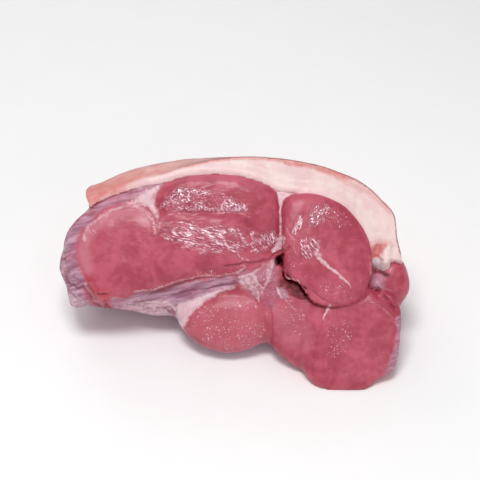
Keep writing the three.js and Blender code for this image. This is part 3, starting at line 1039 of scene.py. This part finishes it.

# %% Gleams and beads, and their painted highlights
grainy = meat.steps(meat.noise(1.5, 3, 0.65), 0.42, 0.56, 0.1, 1.0)
gleam = meat.times(meat.mask("gleam"), grainy)
glinting_beads = meat.steps(meat.noise(1.2, 1, 0.5), 0.6, 0.68)
clustered = meat.steps(meat.noise(9, 2, 0.5), 0.36, 0.55, 0.3, 1.0)
glinting_beads = meat.times(meat.times(glinting_beads, clustered), meat.mask("glinting_beads"))
wet = meat.math("ADD", meat.steps(ridges, 0.3, 0.62), meat.times(glinting_beads, 0.3))
wet = meat.math("MAXIMUM", wet, meat.times(gleam, 0.7))
# painted shade in the gaps between the ridges
colour = meat.blend(meat.times(shaded_gaps, 0.75), colour, GAP_SHADE)
# a painted sheen: lighter pink on the ridges
colour = meat.blend(meat.steps(ridges, 0.34, 0.56, 0.0, 0.5), colour, PAINTED_SHEEN)
# painted highlights: white glints on the crests, the beads and the gleams
painted_glints = meat.math("MAXIMUM", meat.steps(ridges, 0.5, 0.64), meat.steps(glinting_beads, 0.4, 0.9, 0.0, 0.7))
painted_glints = meat.math("MAXIMUM", painted_glints, meat.steps(gleam, 0.15, 0.95, 0.0, 0.8))
uneven = meat.steps(meat.noise(3, 2, 0.5), 0.38, 0.6, 0.35, 0.85)
colour = meat.blend(meat.times(painted_glints, uneven), colour, GLINT)
# painted shade in the hole, the hollow under the flap, the slits and the creases
colour = meat.blend(meat.mask("dark"), colour, PAINTED_SHADE)
print(len(meat.nodes), "nodes in all")

# %% Bump, coat and scattering
fibres = meat.noise(1.8, 3, 0.6, 0.4, meat.mapped(turn=(0, 0, 0.25), stretch=(3, 1, 1)))
normal = meat.bump(meat.noise(0.9, 2, 0.5), 0.25 * MM, strength=0.4)
normal = meat.bump(fibres, 0.5 * MM, normal, 0.4)
normal = meat.bump(wet, 0.35 * MM, normal, 1.0)

rough = meat.steps(meat.noise(6, 3, 0.6), 0.3, 0.7, 0.62, 0.4)
lit = meat.math("SUBTRACT", 1.0, meat.mask("dark"))
coat = meat.times(meat.steps(wet, 0.0, 0.5, 0.08, 1.0), lit)
meat.fit(
    meat.shader, Base_Color=colour, Normal=normal, Coat_Normal=normal, Roughness=rough,
    Coat_Weight=coat, Coat_Roughness=0.1, Coat_IOR=1.9, Subsurface_Weight=0.3,
    Subsurface_Radius=(1.0, 0.3, 0.25), Subsurface_Scale=3.0 * MM,
)
lean.data.materials.append(meat.material)
print("the lean wears", lean.data.materials[0].name)

# %% [markdown]
# ## The finish of the fat and the rind
#
# Fat is cream with a breath of pink, and built of lobules that show as a soft cellular pattern.
# The rind is tan and salmon, drier, with pores and fine creases, and at the cut its outermost
# skin is a thin grey-brown line. Where the rind turns sideways to the face, the same colour is
# painted on more faintly as shade. They are one piece, so one material holds both, and the
# measured thickness tells them apart.

# %% The colours of fat and rind
cap = Finish("fat_and_rind")
CREAM = linear(240, 219, 215)
ROSE_FAT = linear(232, 199, 200)
TAN_RIND = linear(221, 140, 136)
PALE_RIND = linear(234, 175, 169)
OUTER_LINE_AND_SHADE = linear(138, 98, 98)
BLUSH = linear(212, 106, 100)
BRUISE = linear(200, 70, 72)
GREY_FOLD = linear(196, 184, 192)
PINK_FAT = linear(222, 160, 168)

LOBULE = 4.5 * MM
cells = cap.node("TexVoronoi", Vector=cap.place, Scale=1 / LOBULE)
lobules = cells.outputs["Distance"]
clouds = cap.noise(14, 4, 0.6, 0.4)
colour = cap.blend(cap.steps(clouds, 0.35, 0.65), ROSE_FAT, CREAM)
colour = cap.blend(cap.steps(lobules, 0.25, 0.7, 0.0, 0.25), colour, ROSE_FAT)
colour = cap.blend(cap.times(cap.mask("pink"), 0.45), colour, PINK_FAT)
skin_clouds = cap.noise(16, 6, 0.65, 0.3)
rind_colour = cap.blend(cap.steps(skin_clouds, 0.34, 0.66), TAN_RIND, PALE_RIND)
colour = cap.blend(cap.mask("rind"), colour, rind_colour)
# the outer line at the cut, and painted shade where the rind turns sideways
colour = cap.blend(cap.times(cap.mask("rim"), 0.8), colour, OUTER_LINE_AND_SHADE)
colour = cap.blend(cap.times(cap.mask("gleam"), 0.7), colour, GREY_FOLD)
smeared = cap.steps(cap.noise(6, 4, 0.6), 0.3, 0.6, 0.45, 1.0)
smear = cap.times(cap.mask("blush"), smeared)
colour = cap.blend(cap.times(smear, 0.75), colour, BLUSH)
blotchy = cap.steps(cap.noise(5, 3, 0.5), 0.25, 0.7, 0.65, 0.9)
bruise = cap.times(cap.mask("bruise"), blotchy)
colour = cap.blend(bruise, colour, BRUISE)
print(len(cap.nodes), "nodes of colour")

# %% Bump and scattering in the fat
pores = cap.noise(1.1, 3, 0.6)
creases = cap.noise(9, 5, 0.6, 1.2, cap.mapped(turn=(0, 0, 0.3), stretch=(1, 2.5, 1)))
wrinkled = cap.times(creases, cap.mask("rind"))
normal = cap.bump(lobules, 0.3 * MM, strength=0.35)
normal = cap.bump(pores, 0.3 * MM, normal, 0.4)
normal = cap.bump(wrinkled, 2.5 * MM, normal, 0.5)
rough = cap.steps(clouds, 0.3, 0.7, 0.38, 0.55)
cap.fit(
    cap.shader, Base_Color=colour, Normal=normal, Roughness=rough, Coat_Weight=0.1,
    Coat_Roughness=0.25, Subsurface_Weight=0.35, Subsurface_Radius=(1.0, 0.55, 0.45),
    Subsurface_Scale=3.0 * MM,
)
fat.data.materials.append(cap.material)
print("the fat wears", fat.data.materials[0].name)

# %% [markdown]
# ## Ride and replace
#
# Nothing moves in a leg of pork, so both pieces ride on the one body. Each hides the CAD solid
# that it stands for.

# %% Tie the pieces to the frame
for piece, node, slot in ((lean, "lean_meat", "lean"), (fat, "fat_and_rind", "fat")):
    piece.data.shade_smooth()
    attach(piece, "root")
    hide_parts(node)
    print(piece.name, "stands for", node)

# %% [markdown]
# ## Floor and light
#
# The leg lies on a pale plain floor. One large soft light hangs over it and a little to the
# front, so that the wet ridges catch it on their upper sides. A bright surround keeps the
# underside readable.

# %% The floor
HALF_FLOOR = 4.0  # metres
OFF_WHITE = linear(251, 251, 251)
WHITE = linear(255, 255, 255)
sheet = bmesh.new()
bmesh.ops.create_grid(sheet, x_segments=1, y_segments=1, size=HALF_FLOOR)
floor = placed("floor", bpy.data.meshes.new("floor"))
sheet.to_mesh(floor.data)
sheet.free()
board = Finish("pale_floor")
tones = board.blend(board.noise(40), OFF_WHITE, WHITE)
board.fit(board.shader, Base_Color=tones, Roughness=0.7)
floor.data.materials.append(board.material)
floor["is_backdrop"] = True
print("the floor is", 2 * HALF_FLOOR, "m wide")


# %% The lights
def soft_light(name, size, power, place, target):
    """A soft box, in metres and watts, that is turned to the target."""
    data = bpy.data.lights.new(name, "AREA")
    data.shape = "RECTANGLE"
    data.size, data.size_y = size
    data.energy = power
    lamp = placed(name, data)
    aim = (Vector(target) - Vector(place)).to_track_quat("-Z", "Y")
    lamp.matrix_world = Matrix.Translation(place) @ aim.to_matrix().to_4x4()
    print(name, "gives", power, "W")


MIDDLE = (0, 0, 0.06)  # of the leg
soft_light("key", (0.5, 0.34), 10.5, (-0.12, -0.40, 1.35), MIDDLE)
soft_light("fill", (1.2, 0.8), 3.5, (0.7, -1.5, 0.7), MIDDLE)
soft_light("back", (1.2, 0.6), 4, (-0.6, 1.3, 1.0), MIDDLE)
world = bpy.data.worlds.new("surround")
world.use_nodes = True
world.node_tree.nodes["Background"].inputs["Color"].default_value = (1, 1, 1, 1)
world.node_tree.nodes["Background"].inputs["Strength"].default_value = 0.42
bpy.context.scene.world = world
bpy.context.scene.view_settings.view_transform = "Standard"

# %% Compare the sizes and finish
NEW_LOW, NEW_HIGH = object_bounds()
growth = (NEW_HIGH - NEW_LOW) - (CAD_HIGH - CAD_LOW)
print("grown by", [round(side / MM, 1) for side in growth], "mm")
